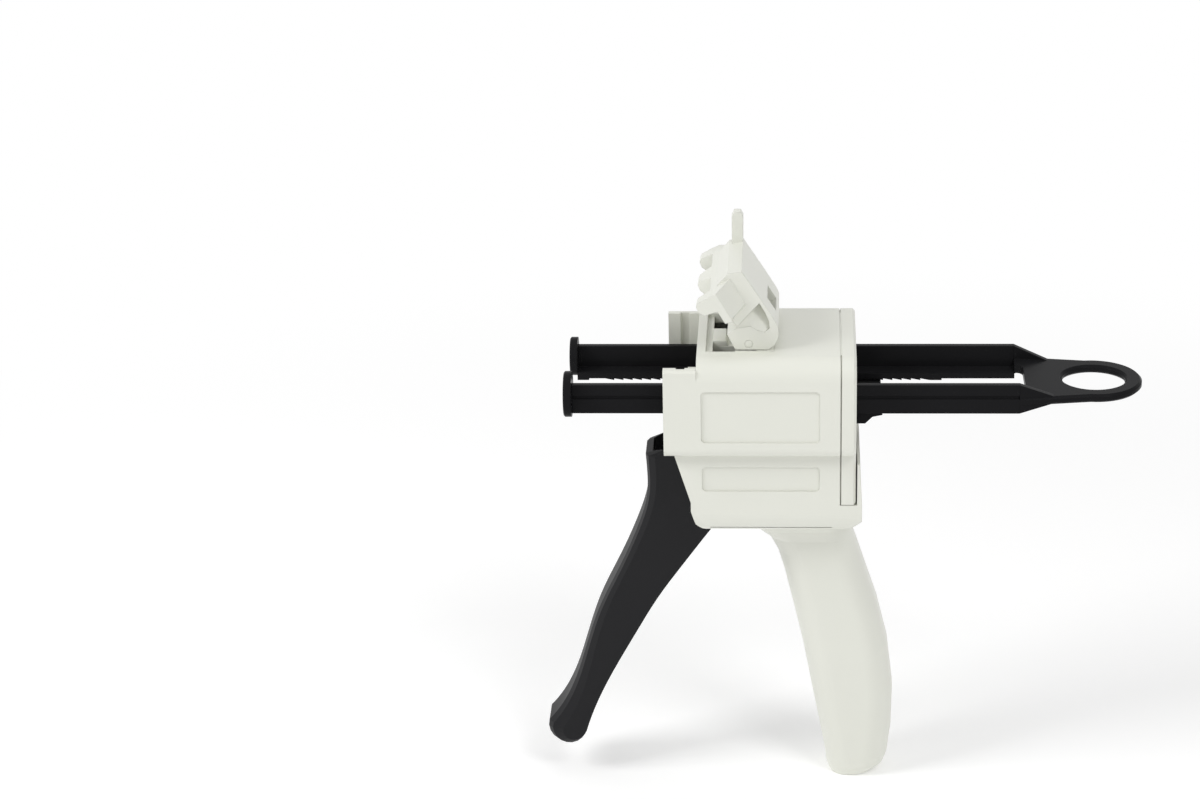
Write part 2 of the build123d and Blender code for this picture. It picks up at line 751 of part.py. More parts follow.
# Latch lever: block on the deck's lug, comb plate with three claws and a finger tab
comb_top = (11.9, 43.2)
comb_bottom = (18.3, 32.2)
comb_along = (Vector(comb_bottom[0], 0, comb_bottom[1]) - Vector(comb_top[0], 0, comb_top[1])).normalized()
comb_length = ((comb_bottom[0] - comb_top[0]) ** 2 + (comb_bottom[1] - comb_top[1]) ** 2) ** 0.5
comb_plane = Plane(
    origin=(comb_top[0], 0, comb_top[1]),
    x_dir=(-comb_along.Z, 0, comb_along.X),
    z_dir=comb_along,
)
foot_low = deck_z + 0.2
with BuildPart() as latch_lever:
    with BuildSketch(Plane.XZ):
        with BuildLine():
            Polyline(
                (21.5, 49.0), (16.2, 48.2), comb_top, comb_bottom, (18.0, 29.0), (20.1, 26.8),
                (15.9, 23.7), (18.9, foot_low), (31.5, foot_low), (33.8, 19.7), (35.2, 22.5),
                (35.2, 26.6), (34.2, 28.8), (28.6, 37.9),
                close=True,
            )
        make_face()
    extrude(amount=latch_half, both=True)
    # Comb plate across the front, with a gusset behind each end of it
    with BuildSketch(Plane.XZ):
        with BuildLine():
            Polyline(comb_top, comb_bottom, (15.4, 31.3), (9.3, 41.7), close=True)
        make_face()
    extrude(amount=comb_half, both=True)
    with BuildSketch(comb_plane):
        for side in (-1, 1):
            with BuildLine():
                Polyline(
                    (0, side * (latch_half - 1)), (0, side * comb_half),
                    (comb_gusset, side * latch_half), (comb_gusset, side * (latch_half - 1)),
                    close=True,
                )
            make_face()
    extrude(amount=comb_length - 1.0)
    # Claws, parted by two notches that narrow towards the plate
    with BuildSketch(Plane.XZ):
        with BuildLine():
            Polyline(
                (10.5, 42.4), (9.3, 41.9), (5.2, 39.6), (4.5, 38.0), (5.3, 36.0), (7.6, 34.5), (12.9, 36.3),
                close=True,
            )
        make_face()
    extrude(amount=comb_half, both=True)
    with BuildSketch(Plane.XY.offset(foot_low)):
        for side in (-1, 1):
            with BuildLine():
                Polyline(
                    (3.0, side * claw_width / 2),
                    (9.6, side * claw_root / 2),
                    (9.6, side * (comb_half - 1.4 * claw_width)),
                    (3.0, side * (comb_half - claw_width)),
                    close=True,
                )
            make_face()
    extrude(amount=comb_top[1] - foot_low + 1, mode=Mode.SUBTRACT)
    # Finger tab at one end
    with BuildSketch(Plane.XZ.offset(-(latch_half - 2.5))):
        with BuildLine():
            Polyline(
                (21.5, 46.0), (21.6, 59.2), (20.6, 61.0), (18.2, 61.0), (17.2, 59.2), (17.2, 46.0),
                close=True,
            )
        make_face()
    extrude(amount=2.0, both=True)
    # Hollow in each end, open towards the front
    with BuildSketch(Plane.XZ) as end_hollow:
        with BuildLine():
            Polyline(
                (28.0, 36.4), (30.2, 32.6), (31.6, 29.3), (31.8, 26.2), (30.0, 24.8), (27.1, 25.5),
                (24.6, 27.2), (19.0, 26.2), (23.6, 31.6),
                close=True,
            )
        make_face()
    for side in (-1, 1):
        extrude(
            [face.moved(Location((0, side * latch_half, 0))) for face in end_hollow.sketch.faces()],
            amount=latch_pocket, dir=(0, -side, 0), mode=Mode.SUBTRACT,
        )
    # Slot for the lug, its opening in the back and the bore for the pin
    with BuildSketch(Plane.XZ):
        with Locations((latch_x, latch_z)):
            RegularPolygon(lug_swing / cos(pi / flats), flats)
        with BuildLine():
            Polyline((31.8, 34.6), (35.4, 29.4), (28.6, 25.2), (25.0, 30.4), close=True)
        make_face()
    extrude(amount=lug_half + side_play, both=True, mode=Mode.SUBTRACT)
    with BuildSketch(Plane.XZ):
        with Locations((latch_x, latch_z)):
            RegularPolygon(latch_pin_radius + running, flats)
    extrude(amount=latch_half + 1, both=True, mode=Mode.SUBTRACT)

latch_lever.part.label = "latch_lever"
export_step(latch_lever.part, "parts/latch_lever.step")


# Pins
pin_sizes = {
    "trigger_pin": (trigger_x, trigger_z, trigger_pin_radius, trigger_pin_length),
    "pawl_pin": (pawl_x, pawl_z, pawl_pin_radius, 2 * pawl_half),
    "release_pin": (release_x, release_z, release_pin_radius, release_pin_length),
    "latch_pin": (latch_x, latch_z, latch_pin_radius, 2 * latch_half - 3.0),
}
for pin_name, (pin_x, pin_z, pin_radius, pin_length) in pin_sizes.items():
    with BuildPart() as pin:
        with BuildSketch(Plane.XZ):
            with Locations((pin_x, pin_z)):
                RegularPolygon(pin_radius, flats)
        extrude(amount=pin_length / 2, both=True)
    pin.part.label = pin_name
    export_step(pin.part, f"parts/{pin_name}.step")


# Coil springs: a square wire lofted along a helix, with flat steps to each turn
def coil(start, along, across, length, coil_radius, wire_radius, turns):
    origin = Vector(*start)
    along = Vector(*along)
    across = Vector(*across)
    third = along.cross(across)
    steps = turns * turn_steps
    rings = []
    for step in range(steps + 1):
        angle = 2 * pi * step / turn_steps
        outward = across * cos(angle) + third * sin(angle)
        middle = origin + along * (length * step / steps) + outward * coil_radius
        corners = []
        for corner in range(wire_sides):
            turn = 2 * pi * (corner + 0.5) / wire_sides
            corners.append(middle + outward * (wire_radius * cos(turn)) + along * (wire_radius * sin(turn)))
        rings.append(corners)
    outlines = [rings[0], rings[-1]]
    for first, second in zip(rings, rings[1:]):
        for corner in range(wire_sides):
            other = (corner + 1) % wire_sides
            outlines.append([first[corner], first[other], second[other]])
            outlines.append([first[corner], second[other], second[corner]])
    return Solid(Shell([Face(Wire.make_polygon(outline, close=True)) for outline in outlines]))


spring_sizes = {
    "trigger_spring": (
        (spring_front + spring_wire, 0, spring_z), (1, 0, 0), (0, 1, 0),
        post_front - spring_front - 2 * spring_wire, spring_radius, spring_wire, 8,
    ),
    "pawl_spring": (
        (pawl_x - 4.9, 7.0, trigger_z + trigger_hub + 0.8), (0, 0, 1), (1, 0, 0),
        6.2, 1.8, 0.3, 5,
    ),
    "release_spring": (
        (release_spring_x, 0, shelf_z + 0.6), (0, 0, 1), (1, 0, 0),
        arm_low - shelf_z - 1.25, 2.6, 0.5, 4,
    ),
}
for spring_name, sizes in spring_sizes.items():
    spring_part = coil(*sizes)
    spring_part.label = spring_name
    export_step(spring_part, f"parts/{spring_name}.step")
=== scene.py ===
from math import cos, pi, radians, sin

import bmesh
import bpy
from mathutils import Matrix, Vector


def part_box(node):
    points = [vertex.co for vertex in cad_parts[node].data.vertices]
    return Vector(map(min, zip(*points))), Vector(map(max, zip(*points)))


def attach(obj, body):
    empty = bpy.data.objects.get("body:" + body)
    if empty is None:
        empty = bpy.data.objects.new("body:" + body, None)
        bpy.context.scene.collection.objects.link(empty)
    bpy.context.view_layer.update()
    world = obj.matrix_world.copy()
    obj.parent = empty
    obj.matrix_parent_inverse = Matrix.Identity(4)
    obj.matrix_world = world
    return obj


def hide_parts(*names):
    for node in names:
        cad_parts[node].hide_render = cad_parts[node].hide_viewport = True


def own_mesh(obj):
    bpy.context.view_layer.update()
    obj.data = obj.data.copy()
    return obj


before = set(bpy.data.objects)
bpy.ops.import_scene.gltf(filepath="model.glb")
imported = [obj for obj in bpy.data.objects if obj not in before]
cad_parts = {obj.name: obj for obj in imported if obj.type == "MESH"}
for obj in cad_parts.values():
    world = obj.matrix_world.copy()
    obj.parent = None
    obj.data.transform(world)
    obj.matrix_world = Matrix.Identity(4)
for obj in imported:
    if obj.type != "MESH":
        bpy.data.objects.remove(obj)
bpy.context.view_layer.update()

bl_info = {
    "name": "Two-barrel dispensing gun",
    "version": (1, 0, 0),
    "blender": (4, 5, 0),
    "location": "View3D > Sidebar > Dispenser",
    "description": "Dresses the packed dispensing gun: finishes, moulded details and a plain studio",
    "category": "Object",
}

MM = 0.001
WIRE_SIDES = 12
WIRE_ANGLE = radians(50)
SMOOTH_ANGLE = radians(40)
SPRING_STEPS = 28

# Each node with the finish that it carries
FINISHES = {
    "housing": "ivory_plastic",
    "rear_cover": "ivory_plastic",
    "latch_lever": "ivory_plastic",
    "trigger": "graphite_plastic",
    "drive_pawl": "black_plastic",
    "release_lever": "black_plastic",
    "rack_large_side": "black_plastic",
    "rack_small_side": "black_plastic",
    "plunger_disc_large": "black_plastic",
    "plunger_disc_small": "black_plastic",
    "pull_ring": "black_plastic",
    "trigger_pin": "ground_steel",
    "pawl_pin": "ground_steel",
    "latch_pin": "ground_steel",
    "release_pin": "ground_steel",
    "trigger_spring": "ground_steel",
    "pawl_spring": "ground_steel",
    "release_spring": "ground_steel",
}

# Each coil spring: node, axis, radii of the coil and the wire in mm, turns, body, and how a joint squeezes it
SPRINGS = (
    ("trigger_spring", "X", 4.0, 0.58, 8, "frame", "trigger_squeeze", "high", 0.75),
    ("pawl_spring", "Z", 1.8, 0.28, 5, "trigger", None, "low", 1.0),
    ("release_spring", "Z", 2.6, 0.48, 4, "frame", "release_press", "low", 0.78),
)

# Latch, in mm: half its length, its pin, and the plug and the outline of the hollow in each end
LATCH_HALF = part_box("latch_pin")[1][1] / MM + 1.5
LATCH_PIN = (24.0, 20.0)
PLUG_RADIUS = 1.52
PLUG_DEPTH = 1.3
PLUG_SIDES = 32
PLUG_EDGE = 0.15
HOLLOW_DEPTH = 7.9
HOLLOW = (
    (28.0, 36.8), (30.5, 32.75), (31.95, 29.4), (32.2, 26.0), (30.05, 24.35),
    (26.95, 25.1), (24.5, 26.75), (19.2, 26.05), (23.3, 31.75),
)

# Face scooped into each end of the latch, in mm: direction in which it deepens, where it starts
# along that, how far it goes, its skin below the end at its foot, and how deep it gets
SCOOP_WAY = (0.5, 0.87)
SCOOP_START = 36.6
SCOOP_LENGTH = 9.1
SCOOP_SKIN = 0.04
SCOOP_FALL = 6.4

# Raised front end of the bar between the deck's windows, in mm
BAR_PROFILE = ((10.1, 13.2), (10.1, 16.56), (15.1, 16.56), (16.6, 13.2))
BAR_HALF = 6.66
BAR_EDGE = 0.2

# Low and high corner, in mm, of the deck's lip beside each end of the latch, of the deck's heel
# under its back, where the latch never dips, and of the strip in the cover's seam
DECK_TOP = 17.5
LIP_LOW = (18.7, 19.12, 13.6)
LIP_HIGH = (33.8, 20.6, DECK_TOP - 0.04)
HEEL_LOW = (27.0, 6.6, 13.6)
HEEL_HIGH = (33.8, 19.3, DECK_TOP - 0.06)
LIP_EDGE = 0.15
STRIP_LOW = (58.48, -24.0, 16.6)
STRIP_HIGH = (58.97, 21.0, DECK_TOP - 0.06)
STRIP_EDGE = 0.06

# Studio, in metres: the floor with the ring in which it fades to white, the point that the lamps
# face, and each lamp with its place, width, height and share of the key's power
FLOOR_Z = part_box("housing")[0][2]
FLOOR_SIZE = 8.0
FLOOR_MIDDLE = (0.05, 0.0, FLOOR_Z)
FADE_START = 0.25
FADE_END = 0.6
LAMP_TARGET = Vector((0.03, 0.0, -0.06))
LAMPS = (
    ("key_lamp", (0.62, -0.77, 1.0), 0.45, 0.45, 1.0),
    ("top_lamp", (0.1, 0.2, 1.2), 1.0, 1.0, 0.3),
    ("left_lamp", (-0.95, -0.4, 0.75), 0.5, 0.5, 1.5),
)

# The photograph's camera: place, turn towards -X, look down, roll, sensor and lens
CAMERA_PLACE = Vector((43.9, -1196.9, 478.9)) * MM
CAMERA_AZIMUTH = radians(3.721)
CAMERA_ELEVATION = radians(22.2)
CAMERA_ROLL = radians(-1.374)
FRAME_WIDTH = 1200.0
FOCAL_LENGTH = 3350.0
SENSOR = 36.0
LENS = FOCAL_LENGTH / FRAME_WIDTH * SENSOR


# Sizes and colours that a user would change
class DispenserFinish(bpy.types.PropertyGroup):
    ivory: bpy.props.FloatVectorProperty(
        name="Ivory", description="Colour of the casing, cover and latch",
        subtype="COLOR", size=3, min=0, max=1, default=(0.755, 0.762, 0.692),
    )
    black: bpy.props.FloatVectorProperty(
        name="Black", description="Colour of the racks, discs, pull ring and release lever",
        subtype="COLOR", size=3, min=0, max=1, default=(0.0115, 0.0115, 0.0125),
    )
    graphite: bpy.props.FloatVectorProperty(
        name="Graphite", description="Colour of the trigger",
        subtype="COLOR", size=3, min=0, max=1, default=(0.0085, 0.0085, 0.0098),
    )
    steel: bpy.props.FloatVectorProperty(
        name="Steel", description="Colour of the pins and springs",
        subtype="COLOR", size=3, min=0, max=1, default=(0.56, 0.56, 0.57),
    )
    grain: bpy.props.FloatProperty(
        name="Grain", description="Distance over which the moulded grain repeats",
        subtype="DISTANCE", unit="LENGTH", default=0.0006,
    )
    edge: bpy.props.FloatProperty(
        name="Edge", description="Radius that softens the moulded edges",
        subtype="DISTANCE", unit="LENGTH", default=0.0005,
    )


class DispenserStage(bpy.types.PropertyGroup):
    floor: bpy.props.FloatVectorProperty(
        name="Floor", description="Colour of the floor",
        subtype="COLOR", size=3, min=0, max=1, default=(0.93, 0.93, 0.93),
    )
    lift: bpy.props.FloatProperty(
        name="Lift", description="White that the floor adds so that it reads as plain white", default=0.2,
    )
    key: bpy.props.FloatProperty(
        name="Key", description="Power of the lamp at the front right, which the other lamps follow",
        subtype="POWER", unit="POWER", default=4.6,
    )
    sky: bpy.props.FloatProperty(
        name="Sky", description="Strength of the even light from all round", default=0.5,
    )


# Shader groups
def new_group(name, inputs, outputs):
    group = bpy.data.node_groups.new(name, "ShaderNodeTree")
    for label, kind, value in inputs:
        socket = group.interface.new_socket(label, in_out="INPUT", socket_type=kind)
        if value is not None:
            socket.default_value = value
    for label, kind in outputs:
        group.interface.new_socket(label, in_out="OUTPUT", socket_type=kind)
    return group


def moulded_skin_group():
    """Fine spark-eroded grain with slow waves of tone, as a moulded plastic skin has."""
    group = new_group(
        "moulded_skin",
        [
            ("Colour", "NodeSocketColor", None),
            ("Grain", "NodeSocketFloat", 1500.0),
            ("Tone", "NodeSocketFloat", 0.04),
            ("Roughness", "NodeSocketFloat", 0.4),
            ("Depth", "NodeSocketFloat", 0.02),
            ("Edge", "NodeSocketFloat", 0.0005),
        ],
        [("Colour", "NodeSocketColor"), ("Roughness", "NodeSocketFloat"), ("Normal", "NodeSocketVector")],
    )
    nodes = group.nodes
    links = group.links
    entry = nodes.new("NodeGroupInput")
    leave = nodes.new("NodeGroupOutput")
    place = nodes.new("ShaderNodeTexCoord")
    grain = nodes.new("ShaderNodeTexNoise")
    grain.inputs["Detail"].default_value = 3.0
    links.new(place.outputs["Object"], grain.inputs["Vector"])
    links.new(entry.outputs["Grain"], grain.inputs["Scale"])
    waves = nodes.new("ShaderNodeTexNoise")
    waves.inputs["Scale"].default_value = 28.0
    waves.inputs["Detail"].default_value = 4.0
    links.new(place.outputs["Object"], waves.inputs["Vector"])
    # Tone: the colour drifts a little either way
    drift = nodes.new("ShaderNodeMath")
    drift.operation = "SUBTRACT"
    drift.inputs[1].default_value = 0.5
    links.new(waves.outputs["Fac"], drift.inputs[0])
    amount = nodes.new("ShaderNodeMath")
    amount.operation = "MULTIPLY_ADD"
    amount.inputs[2].default_value = 1.0
    links.new(drift.outputs[0], amount.inputs[0])
    links.new(entry.outputs["Tone"], amount.inputs[1])
    tone = nodes.new("ShaderNodeVectorMath")
    tone.operation = "SCALE"
    links.new(entry.outputs["Colour"], tone.inputs[0])
    links.new(amount.outputs[0], tone.inputs["Scale"])
    links.new(tone.outputs["Vector"], leave.inputs["Colour"])
    # Roughness follows the waves
    rough = nodes.new("ShaderNodeMath")
    rough.operation = "MULTIPLY_ADD"
    rough.inputs[1].default_value = 0.16
    links.new(drift.outputs[0], rough.inputs[0])
    links.new(entry.outputs["Roughness"], rough.inputs[2])
    links.new(rough.outputs[0], leave.inputs["Roughness"])
    # Softened edges, then the grain on top of them
    soften = nodes.new("ShaderNodeBevel")
    soften.samples = 6
    links.new(entry.outputs["Edge"], soften.inputs["Radius"])
    bump = nodes.new("ShaderNodeBump")
    bump.inputs["Distance"].default_value = 0.0002
    links.new(entry.outputs["Depth"], bump.inputs["Strength"])
    links.new(grain.outputs["Fac"], bump.inputs["Height"])
    links.new(soften.outputs["Normal"], bump.inputs["Normal"])
    links.new(bump.outputs["Normal"], leave.inputs["Normal"])
    return group


def drawn_steel_group():
    """Faint streaks round a pin or along a wire."""
    group = new_group(
        "drawn_steel",
        [("Colour", "NodeSocketColor", None), ("Roughness", "NodeSocketFloat", 0.3)],
        [("Colour", "NodeSocketColor"), ("Roughness", "NodeSocketFloat"), ("Normal", "NodeSocketVector")],
    )
    nodes = group.nodes
    links = group.links
    entry = nodes.new("NodeGroupInput")
    leave = nodes.new("NodeGroupOutput")
    place = nodes.new("ShaderNodeTexCoord")
    stretch = nodes.new("ShaderNodeMapping")
    stretch.inputs["Scale"].default_value = (1.0, 12.0, 1.0)
    streaks = nodes.new("ShaderNodeTexNoise")
    streaks.inputs["Scale"].default_value = 400.0
    streaks.inputs["Detail"].default_value = 4.0
    links.new(place.outputs["Object"], stretch.inputs["Vector"])
    links.new(stretch.outputs["Vector"], streaks.inputs["Vector"])
    scale = nodes.new("ShaderNodeMath")
    scale.operation = "MULTIPLY_ADD"
    scale.inputs[1].default_value = 0.3
    scale.inputs[2].default_value = 0.85
    links.new(streaks.outputs["Fac"], scale.inputs[0])
    tone = nodes.new("ShaderNodeVectorMath")
    tone.operation = "SCALE"
    links.new(entry.outputs["Colour"], tone.inputs[0])
    links.new(scale.outputs[0], tone.inputs["Scale"])
    links.new(tone.outputs["Vector"], leave.inputs["Colour"])
    rough = nodes.new("ShaderNodeMath")
    rough.operation = "MULTIPLY_ADD"
    rough.inputs[1].default_value = 0.2
    links.new(streaks.outputs["Fac"], rough.inputs[0])
    links.new(entry.outputs["Roughness"], rough.inputs[2])
    links.new(rough.outputs[0], leave.inputs["Roughness"])
    bump = nodes.new("ShaderNodeBump")
    bump.inputs["Strength"].default_value = 0.15
    bump.inputs["Distance"].default_value = 0.0001
    links.new(streaks.outputs["Fac"], bump.inputs["Height"])
    links.new(bump.outputs["Normal"], leave.inputs["Normal"])
    return group


def group_named(name, build):
    return bpy.data.node_groups.get(name) or build()


def new_material(name, group, values):
    material = bpy.data.materials.new(name)
    material.use_nodes = True
    nodes = material.node_tree.nodes
    shader = nodes["Principled BSDF"]
    skin = nodes.new("ShaderNodeGroup")
    skin.node_tree = group
    for label, value in values.items():
        skin.inputs[label].default_value = value
    for label, target in (("Colour", "Base Color"), ("Roughness", "Roughness"), ("Normal", "Normal")):
        material.node_tree.links.new(skin.outputs[label], shader.inputs[target])
    return material, shader


def ivory_plastic():
    finish = bpy.context.scene.dispenser_finish
    skin = group_named("moulded_skin", moulded_skin_group)
    material, shader = new_material("ivory_plastic", skin, {
        "Colour": (*finish.ivory, 1.0), "Grain": 1 / finish.grain, "Tone": 0.03,
        "Roughness": 0.36, "Depth": 0.05, "Edge": finish.edge,
    })
    shader.inputs["IOR"].default_value = 1.5
    shader.inputs["Specular IOR Level"].default_value = 0.5
    return material


def black_plastic():
    finish = bpy.context.scene.dispenser_finish
    skin = group_named("moulded_skin", moulded_skin_group)
    material, shader = new_material("black_plastic", skin, {
        "Colour": (*finish.black, 1.0), "Grain": 1 / finish.grain, "Tone": 0.2,
        "Roughness": 0.3, "Depth": 0.05, "Edge": finish.edge,
    })
    shader.inputs["IOR"].default_value = 1.5
    shader.inputs["Specular IOR Level"].default_value = 0.03
    return material


def graphite_plastic():
    finish = bpy.context.scene.dispenser_finish
    skin = group_named("moulded_skin", moulded_skin_group)
    material, shader = new_material("graphite_plastic", skin, {
        "Colour": (*finish.graphite, 1.0), "Grain": 1 / finish.grain, "Tone": 0.2,
        "Roughness": 0.5, "Depth": 0.1, "Edge": finish.edge,
    })
    shader.inputs["IOR"].default_value = 1.5
    shader.inputs["Specular IOR Level"].default_value = 0.2
    return material


def ground_steel():
    finish = bpy.context.scene.dispenser_finish
    skin = group_named("drawn_steel", drawn_steel_group)
    material, shader = new_material("ground_steel", skin, {
        "Colour": (*finish.steel, 1.0), "Roughness": 0.26,
    })
    shader.inputs["Metallic"].default_value = 1.0
    return material


MATERIALS = {
    "ivory_plastic": ivory_plastic,
    "black_plastic": black_plastic,
    "graphite_plastic": graphite_plastic,
    "ground_steel": ground_steel,
}


def material_named(name):
    return bpy.data.materials.get(name + "_finish") or make_material(name)


def make_material(name):
    material = MATERIALS[name]()
    material.name = name + "_finish"
    return material


def deselect_all():
    bpy.ops.object.select_all(action="DESELECT")


def round_edges(piece, width):
    """Bevels all sharp edges of a piece by a width in mm, then shades it smooth."""
    bpy.ops.object.modifier_add(type="BEVEL")
    soften = piece.modifiers[-1]
    soften.width = width * MM
    soften.segments = 2
    bpy.ops.object.modifier_apply(modifier=soften.name)
    bpy.ops.object.shade_smooth_by_angle(angle=SMOOTH_ANGLE)


def wind_spring(node, axis, coil, wire, turns):
    """Winds round wire on the place of a packed spring and closes its two ends."""
    low, high = (Vector(corner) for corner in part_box(node))
    middle = (low + high) / 2
    length = high.x - low.x if axis == "X" else high.z - low.z
    foot = Vector((low.x, middle.y, middle.z)) if axis == "X" else Vector((middle.x, middle.y, low.z))
    deselect_all()
    bpy.ops.mesh.primitive_circle_add(
        vertices=WIRE_SIDES, radius=wire * MM, fill_type="NOTHING",
        location=(coil * MM, 0, wire * MM), rotation=(pi / 2, 0, 0),
    )
    spring = bpy.context.object
    spring.name = node + "_coil"
    bpy.ops.object.transform_apply(location=True, rotation=True, scale=True)
    bpy.ops.object.modifier_add(type="SCREW")
    winding = spring.modifiers[-1]
    winding.axis = "Z"
    winding.screw_offset = (length - 2 * wire * MM) / turns
    winding.iterations = turns
    winding.steps = SPRING_STEPS
    winding.render_steps = SPRING_STEPS
    bpy.ops.object.modifier_apply(modifier=winding.name)
    bpy.ops.object.mode_set(mode="EDIT")
    bpy.ops.mesh.select_mode(type="EDGE")
    bpy.ops.mesh.select_all(action="DESELECT")
    bpy.ops.mesh.select_non_manifold()
    bpy.ops.mesh.fill_holes(sides=0)
    bpy.ops.mesh.select_all(action="SELECT")
    bpy.ops.mesh.normals_make_consistent(inside=False)
    bpy.ops.object.mode_set(mode="OBJECT")
    if axis == "X":
        spring.rotation_euler = (0, pi / 2, 0)
    spring.location = foot
    bpy.ops.object.transform_apply(location=True, rotation=True, scale=True)
    bpy.ops.object.shade_smooth_by_angle(angle=WIRE_ANGLE)
    return spring


class DISPENSER_OT_finish_nodes(bpy.types.Operator):
    """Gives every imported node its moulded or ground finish"""
    bl_idname = "dispenser.finish_nodes"
    bl_label = "Finish the packed nodes"

    def execute(self, context):
        for node, finish in FINISHES.items():
            mesh = bpy.data.objects[node].data
            mesh.materials.clear()
            mesh.materials.append(material_named(finish))
        return {"FINISHED"}


class DISPENSER_OT_springs(bpy.types.Operator):
    """Winds the three coil springs from round wire"""
    bl_idname = "dispenser.springs"
    bl_label = "Wind the springs"

    def execute(self, context):
        for node, axis, coil, wire, turns, body, joint, fixed, keep in SPRINGS:
            spring = wind_spring(node, axis, coil, wire, turns)
            spring.data.materials.append(material_named("ground_steel"))
            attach(spring, body)
            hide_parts(node)
            if joint:
                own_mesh(spring)
        return {"FINISHED"}


def scoop_depth(x, z):
    """Depth of the scooped face below the end of the latch: next to nothing at its foot, most at its top."""
    rise = (SCOOP_WAY[0] * x + SCOOP_WAY[1] * z - SCOOP_START) / SCOOP_LENGTH
    return SCOOP_SKIN + SCOOP_FALL * max(0.0, rise)


def add_scoop(side):
    """Fills the hollow in one end of the latch up to a face that slopes inwards as it rises."""
    deselect_all()
    bpy.ops.mesh.primitive_circle_add(vertices=len(HOLLOW), radius=0.01, fill_type="NGON")
    scoop = bpy.context.object
    scoop.name = "latch_scoop_" + ("near" if side < 0 else "far")
    for vertex, (x, z) in zip(scoop.data.vertices, HOLLOW):
        vertex.co = Vector((x, side * (LATCH_HALF - HOLLOW_DEPTH), z)) * MM
    bpy.ops.object.mode_set(mode="EDIT")
    bpy.ops.mesh.select_all(action="SELECT")
    bpy.ops.mesh.extrude_region_move(TRANSFORM_OT_translate={"value": (0, side * MM, 0)})
    shape = bmesh.from_edit_mesh(scoop.data)
    for vertex in shape.verts:
        if vertex.select:
            x = vertex.co.x / MM
            z = vertex.co.z / MM
            vertex.co.y = side * (LATCH_HALF - scoop_depth(x, z)) * MM
    bmesh.update_edit_mesh(scoop.data)
    bpy.ops.mesh.poke()
    bpy.ops.mesh.select_all(action="SELECT")
    bpy.ops.mesh.normals_make_consistent(inside=False)
    bpy.ops.object.mode_set(mode="OBJECT")
    bpy.ops.object.shade_smooth_by_angle(angle=SMOOTH_ANGLE)
    return scoop


def add_plug(side):
    """Closes one end of the pin's bore in the latch with a small bevelled plug."""
    deselect_all()
    middle = side * (LATCH_HALF - PLUG_DEPTH / 2)
    bpy.ops.mesh.primitive_cylinder_add(
        vertices=PLUG_SIDES, radius=PLUG_RADIUS * MM, depth=PLUG_DEPTH * MM,
        location=(LATCH_PIN[0] * MM, middle * MM, LATCH_PIN[1] * MM), rotation=(pi / 2, 0, 0),
    )
    plug = bpy.context.object
    plug.name = "latch_plug_" + ("near" if side < 0 else "far")
    bpy.ops.object.transform_apply(location=True, rotation=True, scale=True)
    round_edges(plug, PLUG_EDGE)
    return plug


class DISPENSER_OT_latch_scoops(bpy.types.Operator):
    """Scoops the hollow in each end of the latch"""
    bl_idname = "dispenser.latch_scoops"
    bl_label = "Scoop the latch's ends"

    def execute(self, context):
        for side in (-1, 1):
            scoop = add_scoop(side)
            scoop.data.materials.append(material_named("ivory_plastic"))
            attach(scoop, "latch")
        return {"FINISHED"}


class DISPENSER_OT_latch_plugs(bpy.types.Operator):
    """Closes each end of the bore of the latch's pin"""
    bl_idname = "dispenser.latch_plugs"
    bl_label = "Plug the latch's bore"

    def execute(self, context):
        for side in (-1, 1):
            plug = add_plug(side)
            plug.data.materials.append(material_named("ivory_plastic"))
            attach(plug, "latch")
        return {"FINISHED"}


class DISPENSER_OT_deck_bar(bpy.types.Operator):
    """Brings the front end of the bar between the windows up to the deck"""
    bl_idname = "dispenser.deck_bar"
    bl_label = "Raise the deck's bar"

    def execute(self, context):
        deselect_all()
        bpy.ops.mesh.primitive_circle_add(vertices=len(BAR_PROFILE), radius=0.01, fill_type="NGON")
        bar = bpy.context.object
        bar.name = "deck_bar"
        for vertex, (x, z) in zip(bar.data.vertices, BAR_PROFILE):
            vertex.co = Vector((x, -BAR_HALF, z)) * MM
        bpy.ops.object.mode_set(mode="EDIT")
        bpy.ops.mesh.select_all(action="SELECT")
        bpy.ops.mesh.extrude_region_move(TRANSFORM_OT_translate={"value": (0, 2 * BAR_HALF * MM, 0)})
        bpy.ops.mesh.select_all(action="SELECT")
        bpy.ops.mesh.normals_make_consistent(inside=False)
        bpy.ops.object.mode_set(mode="OBJECT")
        round_edges(bar, BAR_EDGE)
        bar.data.materials.append(material_named("ivory_plastic"))
        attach(bar, "frame")
        return {"FINISHED"}


def add_bar(name, low, high, edge_width):
    """Makes a straight bar of the frame between two corners in mm and rounds its edges."""
    deselect_all()
    middle = (Vector(low) + Vector(high)) / 2 * MM
    span = Vector([abs(high[axis] - low[axis]) for axis in range(3)]) * MM
    bpy.ops.mesh.primitive_cube_add(size=1.0, location=middle, scale=span)
    bar = bpy.context.object
    bar.name = name
    bpy.ops.object.transform_apply(location=True, rotation=True, scale=True)
    round_edges(bar, edge_width)
    bar.data.materials.append(material_named("ivory_plastic"))
    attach(bar, "frame")


def mirrored(corner, side):
    return (corner[0], side * corner[1], corner[2])


class DISPENSER_OT_deck_lips(bpy.types.Operator):
    """Brings the deck up to the ends of the latch and under its back"""
    bl_idname = "dispenser.deck_lips"
    bl_label = "Add the deck's lips"

    def execute(self, context):
        for end, side in (("near", -1), ("far", 1)):
            add_bar("deck_lip_" + end, mirrored(LIP_LOW, side), mirrored(LIP_HIGH, side), LIP_EDGE)
            add_bar("deck_heel_" + end, mirrored(HEEL_LOW, side), mirrored(HEEL_HIGH, side), LIP_EDGE)
        return {"FINISHED"}


